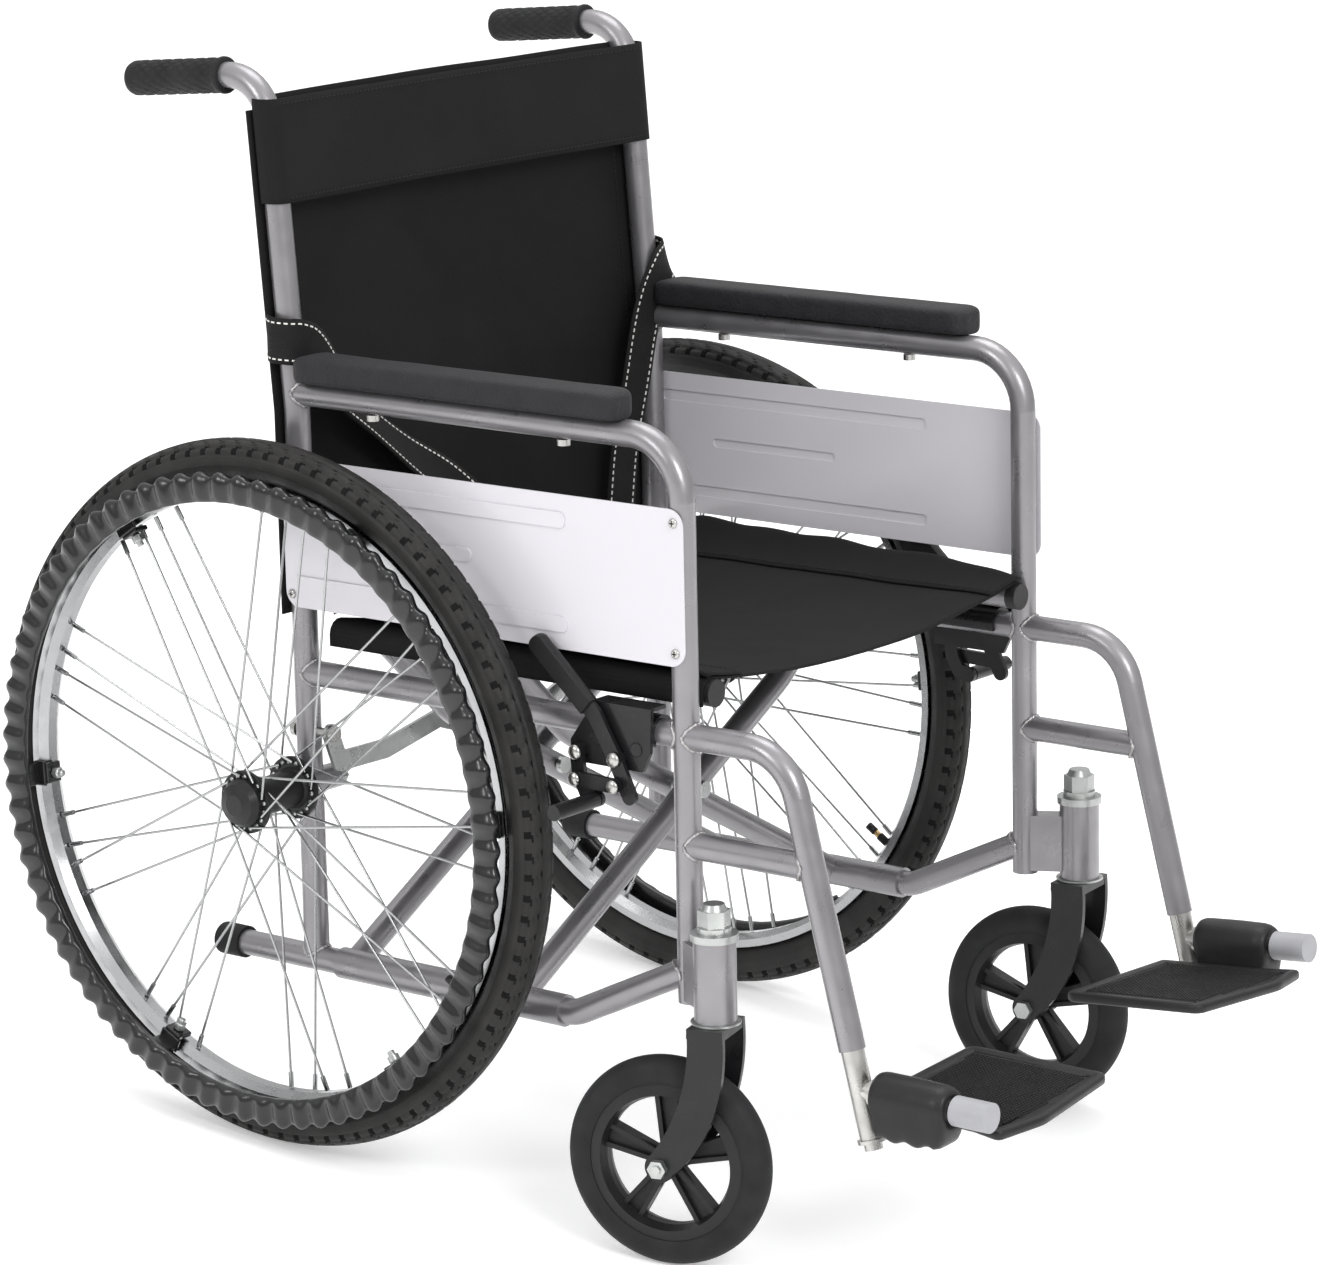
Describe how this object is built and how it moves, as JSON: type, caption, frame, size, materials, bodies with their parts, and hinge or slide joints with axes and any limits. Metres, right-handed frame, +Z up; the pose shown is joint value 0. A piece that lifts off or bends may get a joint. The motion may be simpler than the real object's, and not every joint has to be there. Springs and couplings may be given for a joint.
{
  "type": "folding wheelchair",
  "caption": "Manual folding wheelchair with a tube frame, large spoked rear wheels with hand rims, front casters, fixed arms, flip-up footplates, wheel brakes and a black sling seat.",
  "frame": {"origin": "centre of the bounding box at floor level", "axes": "+Z up, the chair faces -Y, +X towards the left-hand side of the person sitting in it"},
  "size_m": [0.6788, 1.0257, 0.9126],
  "materials": {
    "frame_paint": "satin silver-grey paint",
    "zinc": "zinc plated",
    "chrome": "bright plating",
    "steel": "bright steel",
    "fork_paint": "gloss black paint",
    "black_rubber": "matt moulded",
    "tyre_rubber": "moulded black tyre",
    "caster_rubber": "smooth black tyre",
    "black_plastic": "fine texture",
    "white_panel": "gloss sheet",
    "pad_vinyl": "grained vinyl over foam",
    "sling_fabric": "woven nylon",
    "belt_web": "woven webbing",
    "gloss_black": "gloss moulding",
    "grey_plastic": "smooth"
  },
  "bodies": {
    "right_side": {"frame_right": "frame_paint", "grip_right": "black_rubber", "arm_pad_right": "pad_vinyl", "side_panel_right": "white_panel", "tip_cap_right": "black_rubber", "screws_right": "steel", "axle_right": "zinc", "brake_bracket_right": "fork_paint", "caster_headset_right": "chrome", "backrest": "sling_fabric", "lap_belt": "belt_web"},
    "cross_outer_member": {"cross_outer": "frame_paint", "rail_caps_outer": "black_plastic", "pivot_bolts": "zinc", "seat_sling": "sling_fabric"},
    "cross_inner_member": {"cross_inner": "frame_paint", "rail_caps_inner": "black_plastic"},
    "left_side": {"frame_left": "frame_paint", "grip_left": "black_rubber", "arm_pad_left": "pad_vinyl", "side_panel_left": "white_panel", "tip_cap_left": "black_rubber", "screws_left": "steel", "axle_left": "zinc", "brake_bracket_left": "fork_paint", "caster_headset_left": "chrome"},
    "stay_link_right": {"stay_link_right": "zinc"},
    "stay_link_left": {"stay_link_left": "zinc"},
    "wheel_right": {"tyre_right": "tyre_rubber", "rim_right": "chrome", "hub_right": "black_plastic", "spokes_right": "chrome", "handrim_right": "gloss_black"},
    "fork_right": {"caster_fork_right": "fork_paint", "caster_axle_right": "zinc"},
    "caster_wheel_right": {"caster_wheel_right": "black_plastic", "caster_tyre_right": "caster_rubber"},
    "brake_lever_right": {"brake_lever_right": "fork_paint", "brake_grip_right": "black_plastic"},
    "brake_coupler_right": {"brake_coupler_right": "fork_paint"},
    "brake_arm_right": {"brake_arm_right": "fork_paint"},
    "footrest_right": {"footrest_tube_right": "steel", "footrest_cap_right": "grey_plastic"},
    "footplate_right": {"footplate_right": "black_plastic"},
    "wheel_left": {"tyre_left": "tyre_rubber", "rim_left": "chrome", "hub_left": "black_plastic", "spokes_left": "chrome", "handrim_left": "gloss_black"},
    "fork_left": {"caster_fork_left": "fork_paint", "caster_axle_left": "zinc"},
    "caster_wheel_left": {"caster_wheel_left": "black_plastic", "caster_tyre_left": "caster_rubber"},
    "brake_lever_left": {"brake_lever_left": "fork_paint", "brake_grip_left": "black_plastic"},
    "brake_coupler_left": {"brake_coupler_left": "fork_paint"},
    "brake_arm_left": {"brake_arm_left": "fork_paint"},
    "footrest_left": {"footrest_tube_left": "steel", "footrest_cap_left": "grey_plastic"},
    "footplate_left": {"footplate_left": "black_plastic"}
  },
  "joints": [
    {"name": "fold", "type": "hinge", "parent": "right_side", "child": "cross_outer_member", "pos_m": [-0.238, 0.016, 0.16248], "axis": [0, -0.9968, 0.0802], "range_deg": [0, 48.5], "deforming": ["seat_sling", "backrest", "lap_belt"]},
    {"name": "cross_pivot", "type": "hinge", "parent": "cross_outer_member", "child": "cross_inner_member", "pos_m": [0, 0.02659, 0.29405], "axis": [0, -0.9968, 0.0802], "range_deg": [-97, 0]},
    {"name": "left_sleeve", "type": "hinge", "parent": "cross_inner_member", "child": "left_side", "pos_m": [0.238, 0.016, 0.16248], "axis": [0, -0.9968, 0.0802], "range_deg": [0, 48.5]},
    {"name": "stay_link_right_turn", "type": "hinge", "parent": "right_side", "child": "stay_link_right", "pos_m": [-0.238, 0.18682, 0.35038], "axis": [0, -0.9968, 0.0802], "range_deg": [-48.5, 0]},
    {"name": "stay_link_left_turn", "type": "hinge", "parent": "left_side", "child": "stay_link_left", "pos_m": [0.238, 0.19161, 0.35], "axis": [0, -0.9968, 0.0802], "range_deg": [0, 48.5]},
    {"name": "wheel_right_turn", "type": "hinge", "parent": "right_side", "child": "wheel_right", "pos_m": [-0.2944, 0.20323, 0.305], "axis": [1, 0, 0], "continuous": true},
    {"name": "caster_right_swivel", "type": "hinge", "parent": "right_side", "child": "fork_right", "pos_m": [-0.2605, -0.25015, 0.24609], "axis": [0, 0.0802, 0.9968], "continuous": true},
    {"name": "caster_right_turn", "type": "hinge", "parent": "fork_right", "child": "caster_wheel_right", "pos_m": [-0.27172, -0.22226, 0.088], "axis": [0.9636, 0.2664, -0.0214], "continuous": true},
    {"name": "brake_right_lever", "type": "hinge", "parent": "right_side", "child": "brake_lever_right", "pos_m": [-0.261, -0.13999, 0.40577], "axis": [1, 0, 0], "range_deg": [0, 29]},
    {"name": "brake_right_arm", "type": "hinge", "parent": "right_side", "child": "brake_arm_right", "pos_m": [-0.261, -0.10004, 0.40356], "axis": [1, 0, 0], "range_deg": [0, 29]},
    {"name": "brake_right_coupler", "type": "hinge", "parent": "brake_lever_right", "child": "brake_coupler_right", "pos_m": [-0.266, -0.14416, 0.38504], "axis": [1, 0, 0], "range_deg": [-29, 0]},
    {"name": "footrest_right_slide", "type": "slide", "parent": "right_side", "child": "footrest_right", "axis": [0, 0.3272, 0.9449], "range_m": [-0.03, 0.02]},
    {"name": "footplate_right_flip", "type": "hinge", "parent": "footrest_right", "child": "footplate_right", "pos_m": [-0.238, -0.38678, 0.18184], "axis": [0, -0.9968, 0.0802], "range_deg": [0, 90]},
    {"name": "wheel_left_turn", "type": "hinge", "parent": "left_side", "child": "wheel_left", "pos_m": [0.2944, 0.20323, 0.305], "axis": [1, 0, 0], "continuous": true},
    {"name": "caster_left_swivel", "type": "hinge", "parent": "left_side", "child": "fork_left", "pos_m": [0.2605, -0.25015, 0.24609], "axis": [0, 0.0802, 0.9968], "continuous": true},
    {"name": "caster_left_turn", "type": "hinge", "parent": "fork_left", "child": "caster_wheel_left", "pos_m": [0.25538, -0.22105, 0.088], "axis": [0.9925, 0.1215, -0.0098], "continuous": true},
    {"name": "brake_left_lever", "type": "hinge", "parent": "left_side", "child": "brake_lever_left", "pos_m": [0.261, -0.13999, 0.40577], "axis": [1, 0, 0], "range_deg": [0, 29]},
    {"name": "brake_left_arm", "type": "hinge", "parent": "left_side", "child": "brake_arm_left", "pos_m": [0.261, -0.10004, 0.40356], "axis": [1, 0, 0], "range_deg": [0, 29]},
    {"name": "brake_left_coupler", "type": "hinge", "parent": "brake_lever_left", "child": "brake_coupler_left", "pos_m": [0.266, -0.14416, 0.38504], "axis": [1, 0, 0], "range_deg": [-29, 0]},
    {"name": "footrest_left_slide", "type": "slide", "parent": "left_side", "child": "footrest_left", "axis": [0, 0.3272, 0.9449], "range_m": [-0.041, 0.009]},
    {"name": "footplate_left_flip", "type": "hinge", "parent": "footrest_left", "child": "footplate_left", "pos_m": [0.238, -0.38306, 0.19258], "axis": [0, 0.986, -0.1668], "range_deg": [0, 90]}
  ],
  "couplings": [
    {"joint": "cross_pivot", "follows": "fold", "ratio": -2},
    {"joint": "left_sleeve", "follows": "fold", "ratio": 1},
    {"joint": "stay_link_right_turn", "follows": "fold", "ratio": -1},
    {"joint": "stay_link_left_turn", "follows": "fold", "ratio": 1},
    {"joint": "brake_right_arm", "follows": "brake_right_lever", "ratio": 1},
    {"joint": "brake_right_coupler", "follows": "brake_right_lever", "ratio": -1},
    {"joint": "footplate_right_flip", "follows": "fold", "ratio": 1.8555},
    {"joint": "brake_left_arm", "follows": "brake_left_lever", "ratio": 1},
    {"joint": "brake_left_coupler", "follows": "brake_left_lever", "ratio": -1},
    {"joint": "footplate_left_flip", "follows": "fold", "ratio": 1.8555}
  ]
}
